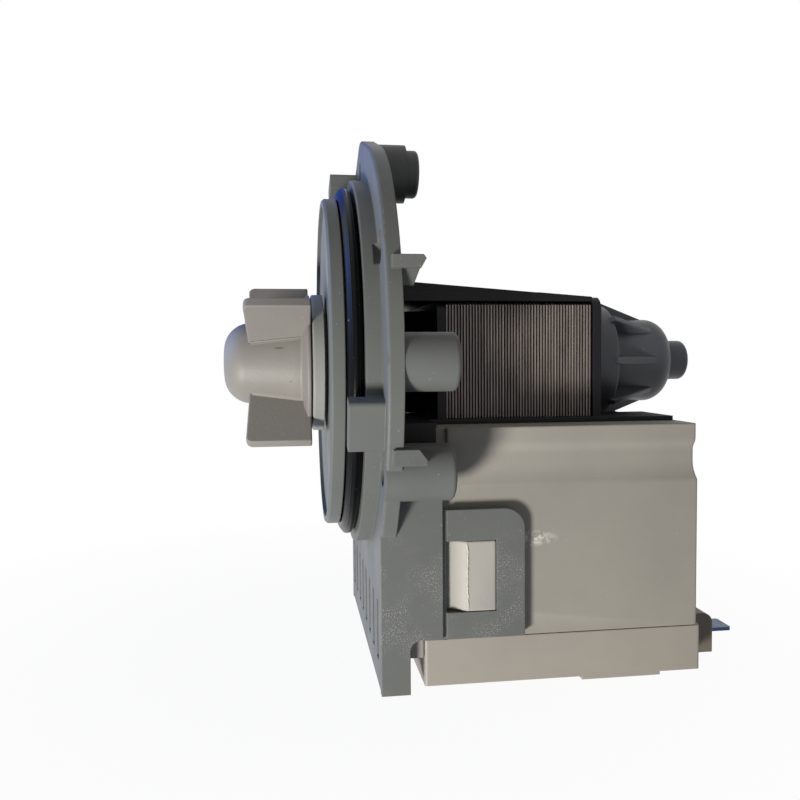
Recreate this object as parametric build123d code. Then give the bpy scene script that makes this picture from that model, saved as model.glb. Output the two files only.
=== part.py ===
from build123d import *
import os
from math import cos, radians, sin

# Washer drain pump: an impeller on a permanent-magnet rotor, driven by a U-shaped coil core.
# X runs along the rotor axis from the impeller to the tail, and Z is up.
# The origin lies on the rotor axis, in the front face of the mounting flange.

# Fits and clearances, in millimetres
running_gap = 0.05
nest_gap = 0.02
seat_gap = 0.1
clear_gap = 0.3
cut_over = 1.0

# Angles and shares of a size
full_turn = 360
half_share = 0.5
hook_nose_share = 0.125
hook_nose_drop_share = 0.65

# Mounting flange and its plug, one grey moulding
flange_overhang = 14.0
flange_thickness = 3.1
land_inset = 7.5
land_width = 3.05
groove_width = 3.55
rim_inset = 4.1
groove_depth = 2.2
flange_round = 0.6
rim_width = 2.9
rim_recess = 0.8
rim_border = 1.6
plug_plate = 2.5
plug_wall = 2.4
rim_round = 0.5

# Pockets and ribs behind the plug
socket_wall = 2.6
web_thickness = 1.6
web_count = 12

# Bayonet tabs in front of the flange
tab_count = 3
tab_first_turn = 75
tab_inset = 2.8
tab_height = 3.8
tab_length = 6.7
tab_width = 9.6
tab_round = 0.8

# Screw bosses and dowel bosses behind the flange
screw_count = 3
screw_first_turn = 88
screw_inset = 4.4
screw_hole_radius = 2.6
boss_radius = 5.5
boss_length = 10.4
boss_round = 0.9
ear_radius = 7.3
ear_pad_radius = 6.7
ear_pad_length = 7.3
dowel_turns = (0, 180)
dowel_inset = 5.6

# Stop hooks behind the flange rim, with a mould hole beside each upper one
hook_inset = 1.8
hook_width = 4.2
hook_undercut = 1.8
hook_cap_height = 2.4
upper_hook_top = 19.2
upper_hook_height = 5.4
lower_hook_top = -15.8
lower_hook_height = 3.0
hook_length = 4.3
hook_root = 1.2
hook_hole_turns = (30, 150)
hook_hole_inset = 5.5
hook_hole_radius = 3.2

# Lower bracket of the flange moulding
bracket_wall = 2.0
bracket_corner = 1.5
side_plate_length = 12.4
side_plate_top = 22.0
foot_length = 5.8
foot_round = 2.2
arm_groove_width = 0.8
arm_groove_depth = 0.8
arm_end = 29.2
arm_height = 25.9
arm_lift = 0.7
arm_corner = 4.2
window_front = 13.2
window_back = 23.3
window_border = 5.3
window_height = 14.3
vent_count = 8
vent_pitch = 8.1
vent_width = 3.0
vent_border = 5.4
vent_height = 12.3

# Seal ring in the plug's groove
seal_width = 3.2
seal_height = 4.6
seal_crown = 1.5
seal_line_depth = 0.35
seal_line_width = 0.3

# Rotor line
shaft_radius = 2.0
bush_radius = 4.0
bush_length = 6.0
bush_mount_radius = 6.2
washer_thickness = 0.8
washer_radius = 3.8
carrier_radius = 5.0
carrier_neck_radius = 3.6
carrier_cap_radius = 9.8
carrier_cap_length = 1.6
magnet_radius = 10.3
magnet_overhang = 0.75

# Front bearing collar and its seals
collar_radius = 15.8
collar_length = 2.6
collar_round = 0.5
collar_spigot_length = 8.4
lip_seal_radius = 5.0
lip_seal_length = 2.8
lip_seal_lip = 0.7
collar_face = 0.8
collar_ring_section = 0.85
collar_ring_groove = 2.2
collar_ring_place = 5.9

# Rotor can
can_bore = 11.0
can_wall = 1.0
can_floor = 1.2
can_tail_gap = 0.9
cup_wall = 1.2

# Laminated core
sheet_count = 50
sheet_pitch = 0.65
sheet_gap_width = 0.3
sheet_gap_depth = 0.5
core_top = 12.95
core_chamfer = 0.5
core_front = 16.1
core_can_gap = 0.35
leg_width = 10.5
core_bridge = 1.2
leg_end_gap = 3.9
yoke_height = 10.0

# Black motor frame over the core
frame_wall = 2.0
frame_back_wall = 1.9
frame_inset = 0.6
frame_back_proud = 0.5
frame_strip_proud = 0.5
frame_strip_top = 14.85
frame_front_height = 17.4
frame_back_height = 13.95
frame_corner = 3.0
frame_base = 1.0
frame_base_border = 3.0
tongue_length = 8.4
tongue_drop = 27.0

# Ribbed rear bell and its stub
bell_front_radius = 14.5
bell_skirt_radius = 13.3
bell_skirt_length = 8.0
bell_barrel_radius = 10.0
bell_length = 23.9
bell_nose_length = 4.8
bell_nose_radius = 5.2
bell_rib_count = 8
bell_rib_thickness = 1.8
bell_rib_length = 10.6
bell_rib_radius = 14.1
bell_rib_lap = 1.5
bell_end_wall = 3.0
stub_radius = 4.8
stub_length = 5.6
stub_round = 1.2

# Coil housing, a beige box that is open below
box_front = 3.4
box_back = 67.2
box_side_gap = 0.15
box_top = 13.2
box_bottom = 55.9
box_wall = 1.6
box_step = 0.25
box_step_drops = (17.9, 25.0)
box_corner = 0.4
skirt_length = 3.6
recess_depth = 1.05
recess_length = 10.4
snap_height = 2.1
snap_ramp = 4.0

# Coil cover, the tray that closes the housing
cover_front = 9.0
cover_back = 67.9
cover_height = 9.4
cover_wall = 1.6
cover_round = 0.6
lip_front = 42.0
lip_back = 59.0
lip_height = 0.7

# Terminal block and the two blade terminals
block_back = 75.2
block_half_width = 25.0
block_border = 0.3
block_round = 2.2
terminal_offset = 13.3
terminal_width = 6.3
terminal_thickness = 0.8
terminal_lift = 2.1
terminal_front = 62.4
terminal_tip = 84.8
terminal_bevel = 0.4

# Bobbins, windings and the thermal cut-out
bobbin_wall = 1.1
bobbin_flange = 1.3
winding_build = 8.05
winding_margin = 0.5
winding_middle_gap = 1.25
winding_corner_share = 0.95
bobbin_margin = 0.7
cutout_length = 3.4
cutout_width = 12.0
cutout_height = 14.0
cutout_level = 34.0

# Impeller with its lost-motion coupling
impeller_gap = 0.3
blade_count = 4
blade_first_turn = 54
blade_radius = 22.0
blade_thickness = 2.4
blade_length = 14.3
blade_lean = 0.6
blade_round = 1.2
hub_radius = 11.2
nose_length = 5.2
nose_flat = 3.6
dome_length = 9.0
plate_radius = 18.3
plate_edge = 0.8
plate_rise = 2.6
cavity_radius = 8.2
cavity_length = 12.0
cavity_plug = 3.2
dog_hub_radius = 3.7
dog_sweep_angle = 88
lug_first_angle = 20
dog_play_angle = 2
tip_bore_length = 3.5

# Widths from the middle outwards: legs, windings, housing, cover, bracket and flange
can_outer = can_bore + can_wall
core_bore = can_outer + core_can_gap
winding_reach = seat_gap + bobbin_wall + winding_build
leg_inner = winding_middle_gap + winding_reach
core_half_width = leg_inner + leg_width
frame_half_width = core_half_width - frame_inset
frame_back_half_width = core_half_width + frame_back_proud
frame_base_half_width = core_half_width + frame_base_border
box_inner_half_width = core_half_width + winding_reach + winding_margin
box_half_width = box_inner_half_width + box_wall + box_step * len(box_step_drops)
cover_half_width = box_half_width + box_side_gap
bracket_half_width = cover_half_width + bracket_wall
flange_radius = bracket_half_width + flange_overhang

# Depths below the rotor axis, worked out from the housing's lower edge
skirt_drop = box_bottom + skirt_length
cover_drop = box_bottom + cover_height
bracket_drop = cover_drop + lip_height
arm_bottom = box_bottom - arm_lift
arm_top = arm_bottom - arm_height
window_bottom = arm_bottom - window_border
window_top = window_bottom - window_height
vent_bottom = bracket_drop - vent_border
vent_top = vent_bottom - vent_height
leg_drop = box_bottom - leg_end_gap
block_top = box_bottom + block_border
block_bottom = cover_drop - block_border
terminal_level = cover_drop - terminal_lift

# Circles of the flange and plug, worked out from the flange radius
land_radius = flange_radius - land_inset
rim_radius = land_radius - rim_inset
groove_radius = rim_radius - groove_depth
seal_radius = groove_radius + seal_height
tab_radius = flange_radius - tab_inset
tab_inner_radius = tab_radius - tab_height
screw_circle_radius = flange_radius - screw_inset
dowel_circle_radius = flange_radius - dowel_inset
hook_hole_circle_radius = flange_radius - hook_hole_inset
hook_far = flange_radius - hook_inset
hook_near = hook_far - hook_width
web_ring_radius = (can_outer + socket_wall + groove_radius - plug_wall) / 2

# Stations along the rotor axis, worked out from the sizes above
land_front = -land_width
groove_front = land_front - groove_width
plug_front = groove_front - rim_width
plug_back = plug_front + plug_plate
collar_front = plug_front - collar_length
impeller_back = collar_front - impeller_gap
blade_front = impeller_back - blade_length
nose_tip = blade_front - nose_length
cavity_front = impeller_back - cavity_length
shaft_front = cavity_front - tip_bore_length + clear_gap
core_length = sheet_count * sheet_pitch
core_back = core_front + core_length
frame_back = core_back + frame_back_wall
spigot_back = plug_front + collar_spigot_length
collar_pocket = collar_front + collar_face + lip_seal_length + collar_face
front_bush_back = collar_pocket + bush_length
carrier_front = front_bush_back + clear_gap + washer_thickness
magnet_front = core_front - magnet_overhang
magnet_back = core_back + magnet_overhang
carrier_back = magnet_back + carrier_cap_length
rear_bush_front = carrier_back + washer_thickness + clear_gap
rear_bush_back = rear_bush_front + bush_length
can_end = frame_back + can_tail_gap
cup_radius = bush_mount_radius + nest_gap
cup_outer = cup_radius + cup_wall
cup_end = rear_bush_back + clear_gap
shaft_back = rear_bush_back
bell_back = frame_back + bell_length
rail_back = core_back
bobbin_top = box_top + box_wall + clear_gap


# Solids of revolution and extrusions that the pieces share

def turned(*edges):
    """Revolve a closed outline of edges, drawn as (x, radius), about the rotor axis."""
    return revolve(make_face(Wire(list(edges))), axis=Axis.X)


def turned_outline(*points):
    """Revolve a closed polygon of (x, radius) points about the rotor axis."""
    return revolve(make_face(Polyline(*points, close=True)), axis=Axis.X)


def rod(x0, x1, radius, y=0, z=0):
    """Make a round bar along X."""
    return Plane.YZ.offset(x0) * Pos(y, z, 0) * extrude(Circle(radius), amount=x1 - x0)


def tube(x0, x1, outer, inner):
    """Make a round tube along the rotor axis."""
    return Plane.YZ.offset(x0) * extrude(Circle(outer) - Circle(inner), amount=x1 - x0)


def block(x0, x1, y0, y1, z0, z1):
    """Make a box between two opposite corners."""
    middle = Pos((x0 + x1) / 2, (y0 + y1) / 2, (z0 + z1) / 2)
    return middle * Box(x1 - x0, y1 - y0, z1 - z0)


def sector(x0, x1, inner, outer, start, sweep):
    """Make part of a ring about the rotor axis, from a start angle through a sweep."""
    face = make_face(Polyline((x0, inner), (x1, inner), (x1, outer), (x0, outer), close=True))
    return Rot(start, 0, 0) * revolve(face, axis=Axis.X, revolution_arc=sweep)


def side_profile(sketch, y0, y1):
    """Extrude a sketch drawn in X and Z across the width from y0 to y1."""
    plane = Plane(origin=(0, y0, 0), x_dir=(1, 0, 0), z_dir=(0, -1, 0))
    return extrude(plane * sketch, amount=y0 - y1)


def at_turn(radius, turn):
    """Return the Y and Z of a point on a circle round the rotor axis."""
    return radius * cos(radians(turn)), radius * sin(radians(turn))


def turns(count, first):
    """List equal turns round the rotor axis."""
    return [first + i * full_turn / count for i in range(count)]


def both_sides(piece):
    """Join a piece and its mirror image across the upright middle plane."""
    return [piece, mirror(piece, about=Plane.XZ)]


# Impeller and its coupling

def make_impeller():
    dome_end = nose_tip + dome_length
    plate_front = impeller_back - plate_edge
    fillet_front = plate_front - plate_rise
    dome = EllipticalCenterArc(
        (dome_end, nose_flat), dome_length, hub_radius - nose_flat, start_angle=90
    )
    root = EllipticalCenterArc(
        (fillet_front, plate_radius), plate_rise, plate_radius - hub_radius, start_angle=270
    )
    body = turned(
        Line((nose_tip, 0), (nose_tip, nose_flat)),
        dome,
        Line((dome_end, hub_radius), (fillet_front, hub_radius)),
        root,
        Line((plate_front, plate_radius), (impeller_back, plate_radius)),
        Line((impeller_back, plate_radius), (impeller_back, 0)),
        Line((impeller_back, 0), (nose_tip, 0)),
    )
    outline = make_face(Polyline(
        (blade_front + blade_lean, cavity_radius),
        (impeller_back, cavity_radius),
        (impeller_back, blade_radius),
        (blade_front, blade_radius),
        close=True,
    ))
    corner = outline.vertices().sort_by(Axis.X).first
    outline = fillet(corner, blade_round)
    blade = extrude(outline, amount=blade_thickness / 2, both=True)
    body += [Rot(turn, 0, 0) * blade for turn in turns(blade_count, blade_first_turn)]
    body -= rod(cavity_front, impeller_back + cut_over, cavity_radius)
    body -= rod(cavity_front - tip_bore_length, cavity_front, shaft_radius + running_gap)
    lug = sector(
        cavity_front, impeller_back - cavity_plug - nest_gap,
        dog_hub_radius + clear_gap, cavity_radius, lug_first_angle, dog_sweep_angle,
    )
    return body + lug


def make_coupling_plug():
    return tube(
        impeller_back - cavity_plug, impeller_back,
        cavity_radius - nest_gap, shaft_radius + running_gap,
    )


def make_drive_dog():
    front = cavity_front + clear_gap
    back = impeller_back - cavity_plug - clear_gap
    hub = tube(front, back, dog_hub_radius, shaft_radius + nest_gap)
    start = lug_first_angle - dog_play_angle - dog_sweep_angle
    arm = sector(
        front, back, shaft_radius + clear_gap, cavity_radius - clear_gap, start, dog_sweep_angle
    )
    return hub + arm


# Rotor line

def make_rotor_shaft():
    return rod(shaft_front, shaft_back, shaft_radius)


def make_magnet_carrier():
    bore = shaft_radius + nest_gap
    return turned_outline(
        (carrier_front, bore),
        (carrier_front, carrier_neck_radius),
        (magnet_front - carrier_cap_length, carrier_neck_radius),
        (magnet_front - carrier_cap_length, carrier_cap_radius),
        (magnet_front, carrier_cap_radius),
        (magnet_front, carrier_radius),
        (magnet_back, carrier_radius),
        (magnet_back, carrier_cap_radius),
        (carrier_back, carrier_cap_radius),
        (carrier_back, bore),
    )


def make_rotor_magnet():
    return tube(magnet_front, magnet_back, magnet_radius, carrier_radius + nest_gap)


def make_thrust_washer(front):
    return tube(front, front + washer_thickness, washer_radius, shaft_radius + nest_gap)


def make_bush(front):
    return tube(front, front + bush_length, bush_radius, shaft_radius + running_gap)


def make_bush_mount(front):
    return tube(front, front + bush_length, bush_mount_radius, bush_radius + nest_gap)


# Front collar, its seals and the rotor can

def make_bearing_collar():
    spigot = can_bore - nest_gap
    ring_floor = spigot - 2 * collar_ring_section - nest_gap
    ring_front = plug_front + collar_ring_place
    body = rod(collar_front, plug_front, collar_radius)
    body = fillet(body.edges().filter_by(GeomType.CIRCLE).sort_by(Axis.X).first, collar_round)
    body += rod(plug_front, spigot_back, spigot)
    body -= tube(ring_front, ring_front + collar_ring_groove, spigot + cut_over, ring_floor)
    body -= rod(collar_pocket, spigot_back + cut_over, bush_mount_radius + nest_gap)
    seal_front = collar_front + collar_face
    body -= rod(seal_front, seal_front + lip_seal_length, lip_seal_radius + nest_gap)
    body -= rod(collar_front - cut_over, seal_front, lip_seal_radius - lip_seal_lip)
    return body - rod(collar_front, spigot_back, shaft_radius + clear_gap)


def make_lip_seal():
    front = collar_front + collar_face
    back = front + lip_seal_length
    lip = shaft_radius + running_gap
    flank = lip + lip_seal_lip
    return turned_outline(
        (front, flank),
        (front, lip_seal_radius),
        (back, lip_seal_radius),
        (back, flank),
        (back - lip_seal_lip, flank),
        (back - 2 * lip_seal_lip, lip),
        (back - 2 * lip_seal_lip - running_gap, lip),
    )


def make_collar_ring():
    middle = plug_front + collar_ring_place + collar_ring_groove / 2
    radius = can_bore - nest_gap - collar_ring_section
    section = Pos(middle, radius) * Circle(collar_ring_section - nest_gap / 2)
    return revolve(section, axis=Axis.X)


def make_rotor_can():
    cup_wall_end = cup_end + cup_wall
    return turned_outline(
        (plug_back + nest_gap, can_bore),
        (plug_back + nest_gap, can_outer),
        (can_end + can_floor, can_outer),
        (can_end + can_floor, cup_outer),
        (cup_wall_end, cup_outer),
        (cup_wall_end, 0),
        (cup_end, 0),
        (cup_end, cup_radius),
        (can_end, cup_radius),
        (can_end, can_bore),
    )


# Plug seal

def make_plug_seal():
    front = land_front - nest_gap - seal_width
    back = front + seal_width
    middle = (front + back) / 2
    crown = seal_radius - seal_crown
    body = turned(
        Line((front, groove_radius + nest_gap), (front, crown)),
        ThreePointArc((front, crown), (middle, seal_radius), (back, crown)),
        Line((back, crown), (back, groove_radius + nest_gap)),
        Line((back, groove_radius + nest_gap), (front, groove_radius + nest_gap)),
    )
    line_places = (front + seal_width / 4, back - seal_width / 4)
    for place in line_places:
        half = seal_line_width / 2
        body -= tube(place - half, place + half, seal_radius + cut_over, crown)
    return body


# Flange moulding with its plug, bosses and bracket

def flange_outline():
    """Return the flange face: a disc with a top ear, over a square-footed plate."""
    ear_y, ear_z = at_turn(screw_circle_radius, screw_first_turn)
    disc = Circle(flange_radius).edge()
    ear = (Pos(ear_y, ear_z) * Circle(ear_radius)).edge()
    plate = Pos(0, -bracket_drop / 2) * Rectangle(2 * bracket_half_width, bracket_drop)
    feet = plate.vertices().sort_by(Axis.Y)[:2]
    return make_hull([disc, ear]) + fillet(feet, bracket_corner)


def plug_solid():
    """Turn the plug with its rim, seal groove, land and open back."""
    face = plug_front + rim_recess
    socket = can_outer + nest_gap
    return turned_outline(
        (face, can_bore),
        (face, rim_radius - rim_border),
        (plug_front, rim_radius - rim_border),
        (plug_front, rim_radius - rim_round),
        (plug_front + rim_round, rim_radius),
        (groove_front, rim_radius),
        (groove_front, groove_radius),
        (land_front, groove_radius),
        (land_front, land_radius),
        (flange_thickness, land_radius),
        (flange_thickness, groove_radius - plug_wall),
        (plug_back, groove_radius - plug_wall),
        (plug_back, socket + socket_wall),
        (flange_thickness, socket + socket_wall),
        (flange_thickness, socket),
        (plug_back, socket),
        (plug_back, can_bore),
    )


def plug_ribs():
    """Return the ring and the radial ribs that stiffen the plug's open back."""
    inner = can_outer + socket_wall / 2
    outer = groove_radius - plug_wall / 2
    ring = tube(
        plug_back - nest_gap, flange_thickness, web_ring_radius + web_thickness, web_ring_radius
    )
    rib = block(
        plug_back - nest_gap, flange_thickness, inner, outer,
        -web_thickness / 2, web_thickness / 2,
    )
    return [ring] + [Rot(turn, 0, 0) * rib for turn in turns(web_count, 0)]


def bayonet_tab():
    """Return one locking tab, drawn at the turn of +Y."""
    half = tab_width / 2
    arm = block(-tab_length, 0, tab_inner_radius, tab_radius, -half, half)
    arm = fillet(arm.edges().filter_by(Axis.X).sort_by(Axis.Y)[2:], tab_round)
    root = block(land_front, 0, groove_radius + plug_wall, tab_radius - tab_round, -half, half)
    return arm + root


def boss(radius, turn, length):
    """Return a round-ended boss behind the flange."""
    y, z = at_turn(radius, turn)
    body = rod(0, flange_thickness + length, boss_radius, y, z)
    rim = body.edges().filter_by(GeomType.CIRCLE).sort_by(Axis.X).last
    return fillet(rim, boss_round)


def stop_hooks():
    """Return the near side's two wedge hooks: a cap with a set-back web, and a plain wedge."""
    back = flange_thickness
    nose = back + hook_length
    cap_low = upper_hook_top - hook_cap_height
    web_low = upper_hook_top - upper_hook_height
    slope_share = hook_cap_height / upper_hook_height
    cap = make_face(Polyline(
        (hook_root, upper_hook_top),
        (nose - hook_length * hook_nose_share, upper_hook_top),
        (nose, upper_hook_top - upper_hook_height * hook_nose_share),
        (nose - hook_length * half_share * slope_share, cap_low),
        (hook_root, cap_low),
        close=True,
    ))
    web = make_face(Polyline(
        (hook_root, cap_low),
        (nose - hook_length * half_share * slope_share, cap_low),
        (back + hook_length * half_share, web_low),
        (hook_root, web_low),
        close=True,
    ))
    lower = make_face(Polyline(
        (hook_root, lower_hook_top),
        (back + hook_length * hook_nose_drop_share, lower_hook_top),
        (nose, lower_hook_top - lower_hook_height * hook_nose_drop_share),
        (nose, lower_hook_top - lower_hook_height),
        (hook_root, lower_hook_top - lower_hook_height),
        close=True,
    ))
    shapes = [side_profile(shape, -hook_near, -hook_far) for shape in (cap, lower)]
    return shapes + [side_profile(web, -hook_near, -hook_far + hook_undercut)]


def bracket_side():
    """Return the near side of the bracket: side plate, foot and clip arm with its window."""
    outline = make_face(Polyline(
        (0, -side_plate_top),
        (side_plate_length, -side_plate_top),
        (side_plate_length, -arm_top),
        (arm_end, -arm_top),
        (arm_end, -arm_bottom),
        (foot_length, -arm_bottom),
        (foot_length, -bracket_drop),
        (0, -bracket_drop),
        close=True,
    ))
    points = outline.vertices()
    tip = points.filter_by_position(Axis.X, arm_end, arm_end).sort_by(Axis.Y).last
    outline = fillet(tip, arm_corner)
    notch = outline.vertices().filter_by_position(Axis.X, foot_length, foot_length)
    outline = fillet(notch.sort_by(Axis.Y).last, foot_round)
    window = make_face(Polyline(
        (window_front, -window_top),
        (window_back, -window_top),
        (window_back, -window_bottom),
        (window_front, -window_bottom),
        close=True,
    ))
    outer = -bracket_half_width
    plate = side_profile(outline - window, outer + bracket_wall, outer)
    groove = block(
        side_plate_length, side_plate_length + arm_groove_width,
        outer - cut_over, outer + arm_groove_depth, -arm_bottom - cut_over, -arm_top + cut_over,
    )
    return plate - groove


def make_flange_moulding():
    plate = Plane.YZ * extrude(flange_outline(), amount=flange_thickness)
    plate = fillet(plate.faces().sort_by(Axis.X).first.edges(), flange_round)
    plate -= rod(-cut_over, flange_thickness + cut_over, groove_radius - plug_wall)
    body = plate + plug_solid()
    body += plug_ribs()
    body += [Rot(turn, 0, 0) * bayonet_tab() for turn in turns(tab_count, tab_first_turn)]
    screw_turns = turns(screw_count, screw_first_turn)
    body += [boss(screw_circle_radius, turn, boss_length) for turn in screw_turns]
    body += [boss(dowel_circle_radius, turn, boss_length) for turn in dowel_turns]
    ear_y, ear_z = at_turn(screw_circle_radius, screw_first_turn)
    body += rod(0, flange_thickness + ear_pad_length, ear_pad_radius, ear_y, ear_z)
    for hook in stop_hooks():
        body += both_sides(hook)
    body += both_sides(bracket_side())
    for turn in screw_turns:
        y, z = at_turn(screw_circle_radius, turn)
        body -= rod(
            -cut_over, flange_thickness + boss_length + cut_over, screw_hole_radius, y, z
        )
    for turn in hook_hole_turns:
        y, z = at_turn(hook_hole_circle_radius, turn)
        body -= rod(-cut_over, flange_thickness + cut_over, hook_hole_radius, y, z)
    first_vent = -vent_pitch * (vent_count - 1) / 2
    for i in range(vent_count):
        middle = first_vent + i * vent_pitch
        body -= block(
            -cut_over, flange_thickness + cut_over,
            middle - vent_width / 2, middle + vent_width / 2, -vent_bottom, -vent_top,
        )
    return body


# Laminated core and yoke

def sheet_gaps(low, high):
    """Return the fine gaps between the sheets on both outer sides of the core."""
    gaps = []
    inner = core_half_width - sheet_gap_depth
    for i in range(1, sheet_count):
        middle = core_front + i * sheet_pitch
        front = middle - sheet_gap_width / 2
        back = middle + sheet_gap_width / 2
        gap = block(front, back, inner, core_half_width + cut_over, low, high)
        gaps += both_sides(gap)
    return gaps


def make_core():
    head_bottom = core_bore + core_bridge
    head = Pos(0, (core_top - head_bottom) / 2) * Rectangle(
        2 * core_half_width, core_top + head_bottom
    )
    top_corners = head.vertices().sort_by(Axis.Y)[2:]
    sheet = chamfer(top_corners, core_chamfer)
    leg_width = core_half_width - leg_inner
    leg_middle = (core_half_width + leg_inner) / 2
    for side in (-1, 1):
        sheet += Pos(side * leg_middle, -leg_drop / 2) * Rectangle(leg_width, leg_drop)
    sheet -= Circle(core_bore)
    body = Plane.YZ.offset(core_front) * extrude(sheet, amount=core_length)
    return body - sheet_gaps(-box_top, core_top + cut_over)


def make_yoke():
    return block(
        core_front, core_back, -core_half_width, core_half_width,
        -leg_drop - yoke_height, -leg_drop,
    )


# Black motor frame and the ribbed rear bell

def make_motor_frame():
    front = flange_thickness + clear_gap
    top_face = make_face(Polyline(
        (front, core_top),
        (rail_back, core_top),
        (rail_back, frame_back_height),
        (front, frame_front_height),
        close=True,
    ))
    strip_face = top_face & (
        Pos((front + rail_back) / 2, (core_top + frame_strip_top) / 2)
        * Rectangle(rail_back - front, frame_strip_top - core_top)
    )
    half = frame_half_width
    proud = half + frame_strip_proud
    body = side_profile(top_face, half, -half) + side_profile(strip_face, proud, -proud)
    body += frame_wall_plate(core_front - frame_wall, core_front, proud, core_top + seat_gap)
    body += frame_wall_plate(core_back, frame_back, frame_back_half_width, frame_back_height)
    return body + base_plate(front)


def frame_wall_plate(x0, x1, half, high):
    """Return an upright wall across the core, with rounded top corners and a can hole."""
    low = -box_top
    outline = Pos(0, (low + high) / 2) * Rectangle(2 * half, high - low)
    top_corners = outline.vertices().sort_by(Axis.Y)[2:]
    outline = fillet(top_corners, frame_corner) - Circle(can_outer + clear_gap)
    return Plane.YZ.offset(x0) * extrude(outline, amount=x1 - x0)


def base_plate(front):
    """Return the thin plate on the coil housing, with a tongue down each side."""
    low = -box_top
    high = low + frame_base
    wide = box_half_width - box_step * len(box_step_drops) - clear_gap
    tongue_thickness = recess_depth - clear_gap - running_gap
    plate = block(
        front, cover_back - clear_gap - box_wall,
        -frame_base_half_width, frame_base_half_width, low, high,
    )
    plate += block(front, front + tongue_length, -wide, wide, low, high)
    plate -= block(
        core_front, core_back, -core_half_width - seat_gap, core_half_width + seat_gap,
        low - cut_over, high + cut_over,
    )
    plate -= bell_clearance()
    tongue = block(
        front + seat_gap, front + tongue_length - seat_gap, -wide, -wide + tongue_thickness,
        -tongue_drop, high,
    )
    return [plate] + both_sides(tongue)


def bell_clearance():
    """Return the cutter that clears the bell's skirt from what lies below it."""
    radius = bell_front_radius + clear_gap
    return rod(frame_back, frame_back + bell_skirt_length + bell_rib_length, radius)


def make_rear_bell():
    skirt_end = frame_back + bell_skirt_length
    nose_start = bell_back - bell_nose_length
    stub_end = bell_back + stub_length
    inner_step = can_end + can_floor + clear_gap
    inner_end = bell_back - bell_end_wall
    stub_shoulder = stub_end - stub_round
    body = turned(
        Line((frame_back, can_outer + clear_gap), (frame_back, bell_front_radius)),
        Line((frame_back, bell_front_radius), (skirt_end, bell_skirt_radius)),
        Line((skirt_end, bell_skirt_radius), (skirt_end, bell_barrel_radius)),
        Line((skirt_end, bell_barrel_radius), (nose_start, bell_barrel_radius)),
        EllipticalCenterArc(
            (nose_start, bell_nose_radius), bell_nose_length, bell_barrel_radius - bell_nose_radius
        ),
        Line((bell_back, bell_nose_radius), (bell_back, stub_radius)),
        Line((bell_back, stub_radius), (stub_shoulder, stub_radius)),
        RadiusArc(
            (stub_shoulder, stub_radius), (stub_end, stub_radius - stub_round), stub_round
        ),
        Line((stub_end, stub_radius - stub_round), (stub_end, 0)),
        Line((stub_end, 0), (inner_end, 0)),
        Line((inner_end, 0), (inner_end, cup_outer + clear_gap)),
        Line((inner_end, cup_outer + clear_gap), (inner_step, cup_outer + clear_gap)),
        Line((inner_step, cup_outer + clear_gap), (inner_step, can_outer + clear_gap)),
        Line((inner_step, can_outer + clear_gap), (frame_back, can_outer + clear_gap)),
    )
    rib_end = skirt_end + bell_rib_length
    rib_face = make_face(Polyline(
        (skirt_end - bell_rib_lap, cup_outer + cup_wall),
        (skirt_end - bell_rib_lap, bell_skirt_radius),
        (skirt_end, bell_rib_radius),
        (rib_end, bell_barrel_radius),
        (rib_end, cup_outer + cup_wall),
        close=True,
    ))
    rib = extrude(rib_face, amount=bell_rib_thickness / 2, both=True)
    return body + [Rot(turn, 0, 0) * rib for turn in turns(bell_rib_count, 0)]


# Coil housing, cover and terminals

def make_coil_housing():
    ledges = (box_top,) + box_step_drops
    body = None
    for i, top in enumerate(ledges):
        inset = box_step * (len(box_step_drops) - i)
        half = box_half_width - inset
        layer = block(box_front, box_back, -half, half, -box_bottom, -top)
        layer = fillet(layer.edges().filter_by(Axis.Z).sort_by(Axis.X)[-2:], box_corner)
        body = layer if body is None else body + layer
    body += block(
        box_front, cover_front - seat_gap, -box_half_width, box_half_width,
        -skirt_drop, -box_bottom,
    )
    for snap in both_sides(snap_hook()):
        body += snap
    inner = box_inner_half_width
    body -= block(
        box_front + box_wall, box_back - box_wall, -inner, inner,
        -box_bottom - cut_over, -box_top - box_wall,
    ) - block(
        box_front, cover_front, -inner, inner, -skirt_drop, -box_bottom,
    )
    body -= block(
        core_front - seat_gap, core_back + seat_gap,
        -core_half_width - seat_gap, core_half_width + seat_gap,
        -box_top - box_wall - cut_over, -box_top + cut_over,
    )
    outer = box_half_width + cut_over
    recess_floor = box_half_width - box_step * len(box_step_drops) - recess_depth
    recess_front = flange_thickness + clear_gap
    recess = block(
        recess_front - cut_over, recess_front + recess_length,
        -outer, -recess_floor, -tongue_drop - seat_gap, -box_top + cut_over,
    )
    for cut in both_sides(recess):
        body -= cut
    return body - bell_clearance()


def snap_hook():
    """Return the ramped hook that the near clip arm drops over."""
    front = window_front + seat_gap
    back = window_back - seat_gap
    low = -window_bottom + seat_gap
    high = -window_top - seat_gap
    side = -box_half_width
    outline = Polyline(
        (front, side + box_wall / 2),
        (back, side + box_wall / 2),
        (back, side - snap_height),
        (front + snap_ramp, side - snap_height),
        (front, side),
        close=True,
    )
    return Pos(0, 0, low) * extrude(make_face(outline), amount=high - low)


def make_coil_cover():
    body = block(
        cover_front, cover_back, -cover_half_width, cover_half_width, -cover_drop, -box_bottom
    )
    body = fillet(body.edges().filter_by(Axis.Z), cover_round)
    wall = cover_wall
    body -= block(
        cover_front + wall, cover_back - wall, -cover_half_width + wall, cover_half_width - wall,
        -cover_drop + wall, -box_bottom + cut_over,
    )
    body += block(
        lip_front, lip_back, -cover_half_width, cover_half_width, -bracket_drop, -cover_drop
    )
    for side in (-1, 1):
        body -= terminal_slot(side, cover_back - wall - cut_over, cover_back + cut_over)
    return body


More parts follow.
